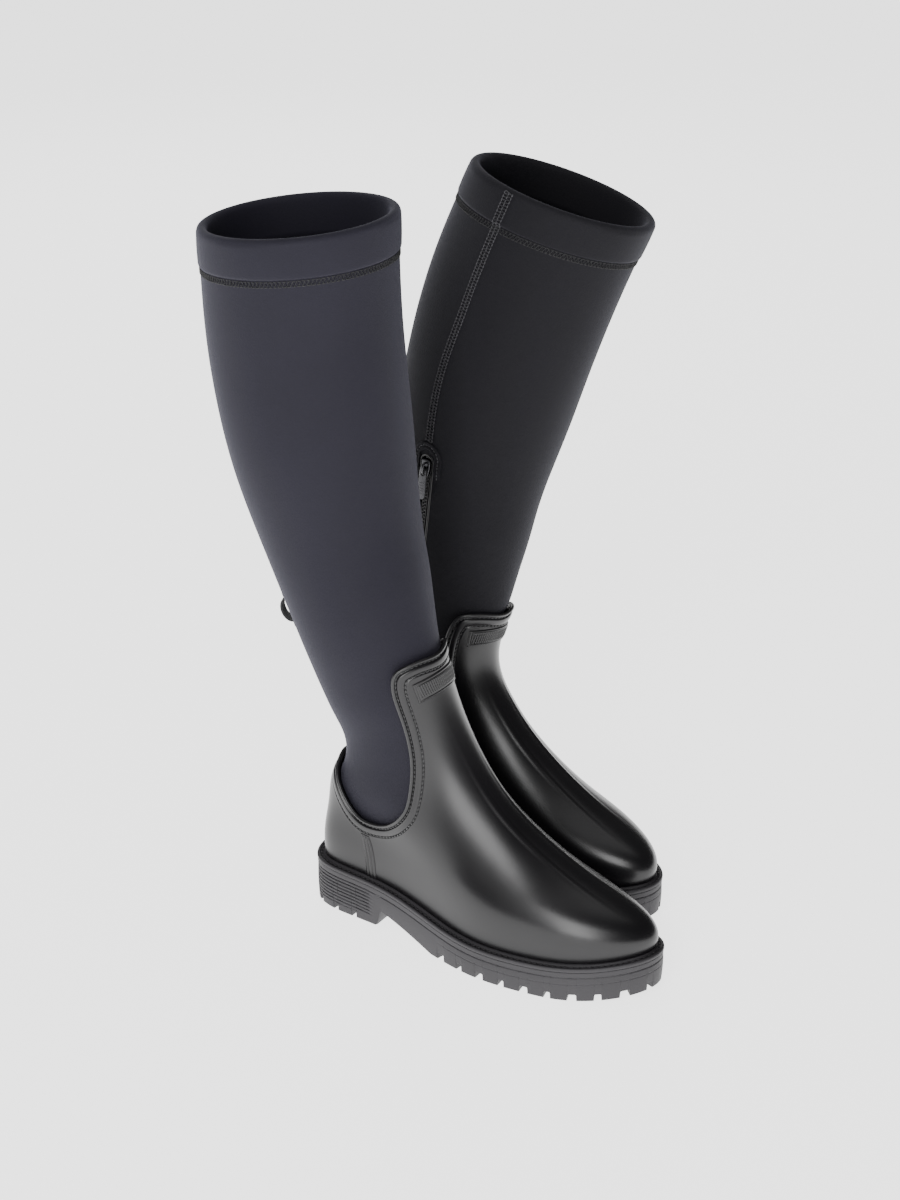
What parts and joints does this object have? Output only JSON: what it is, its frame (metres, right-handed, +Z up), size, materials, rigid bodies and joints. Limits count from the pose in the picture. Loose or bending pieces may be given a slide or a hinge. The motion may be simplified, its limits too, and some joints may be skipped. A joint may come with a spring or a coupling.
{
  "type": "knee-high rain boots",
  "caption": "Knee-high rain boots, left and right, with a moulded foot, high tongue, stretch neoprene leg, lug sole and side zip, standing with the legs leaning as worn.",
  "frame": {"origin": "on the ground, at the centre of the bounding box of both boots seen from above", "axes": "+Z up along the legs, -Y towards the toes, +X towards the wearer's left; the right boot stands at -X"},
  "size_m": [0.3004, 0.3406, 0.5156],
  "materials": {
    "sole_rubber": "matte moulded rubber, slightly greyer than the foot",
    "moulded_foot": "smooth satin black moulded rubber",
    "moulded_trim": "satin black moulded rubber",
    "neoprene": "fine knit face on neoprene foam, matt dark blue-grey",
    "neoprene_hem": "the same knit face, folded double",
    "thread": "textured polyester thread",
    "woven_tape": "black woven tape",
    "zip_plastic": "black moulded zip teeth",
    "zip_metal": "gunmetal finish on die-cast zinc",
    "lining": "dark grey brushed textile"
  },
  "bodies": {
    "right_boot": {"right_outsole": "sole_rubber", "right_welt": "sole_rubber", "right_upper_shell": "moulded_foot", "right_rim_bead": "moulded_trim", "right_name_plate": "moulded_trim", "right_side_strip_inner": "moulded_trim", "right_side_strip_outer": "moulded_trim", "right_neoprene_leg": "neoprene", "right_hem_band": "neoprene_hem", "right_hem_stitching": "thread", "right_leg_seam_stitching": "thread", "right_zip_tape_front": "woven_tape", "right_zip_tape_rear": "woven_tape", "right_zip_inner_gusset": "lining", "right_zip_teeth_front": "zip_plastic", "right_zip_teeth_rear": "zip_plastic", "right_zip_top_stop": "zip_plastic", "right_zip_bottom_stop": "zip_plastic", "right_zip_garage": "moulded_trim", "right_rear_loop": "woven_tape", "right_foot_lining": "lining", "right_insole_board": "lining", "right_insole": "lining"},
    "right_zip_slider": {"right_zip_slider": "zip_metal"},
    "right_pull_tab": {"right_zip_pull_tab": "zip_metal"},
    "left_boot": {"left_outsole": "sole_rubber", "left_welt": "sole_rubber", "left_upper_shell": "moulded_foot", "left_rim_bead": "moulded_trim", "left_name_plate": "moulded_trim", "left_side_strip_inner": "moulded_trim", "left_side_strip_outer": "moulded_trim", "left_neoprene_leg": "neoprene", "left_hem_band": "neoprene_hem", "left_hem_stitching": "thread", "left_leg_seam_stitching": "thread", "left_zip_tape_front": "woven_tape", "left_zip_tape_rear": "woven_tape", "left_zip_inner_gusset": "lining", "left_zip_teeth_front": "zip_plastic", "left_zip_teeth_rear": "zip_plastic", "left_zip_top_stop": "zip_plastic", "left_zip_bottom_stop": "zip_plastic", "left_zip_garage": "moulded_trim", "left_rear_loop": "woven_tape", "left_foot_lining": "lining", "left_insole_board": "lining", "left_insole": "lining"},
    "left_zip_slider": {"left_zip_slider": "zip_metal"},
    "left_pull_tab": {"left_zip_pull_tab": "zip_metal"}
  },
  "joints": [
    {"name": "left_boot_lift", "type": "slide", "parent": "right_boot", "child": "left_boot", "axis": [0, 0, 1], "range_m": [0, 0.3]},
    {"name": "right_zip_slide", "type": "slide", "parent": "right_boot", "child": "right_zip_slider", "axis": [-0.0395, -0.2743, -0.9608], "range_m": [0, 0.101]},
    {"name": "right_pull_tab_hinge", "type": "hinge", "parent": "right_zip_slider", "child": "right_pull_tab", "pos_m": [-0.02478, 0.08505, 0.30433], "axis": [0.0228, -0.9616, 0.2736], "range_deg": [0, 150]},
    {"name": "left_zip_slide", "type": "slide", "parent": "left_boot", "child": "left_zip_slider", "axis": [-0.0682, 0.0789, -0.9945], "range_m": [0, 0.101]},
    {"name": "left_pull_tab_hinge", "type": "hinge", "parent": "left_zip_slider", "child": "left_pull_tab", "pos_m": [0.00795, 0.07699, 0.30996], "axis": [0.0521, 0.9958, 0.0754], "range_deg": [0, 150]}
  ]
}
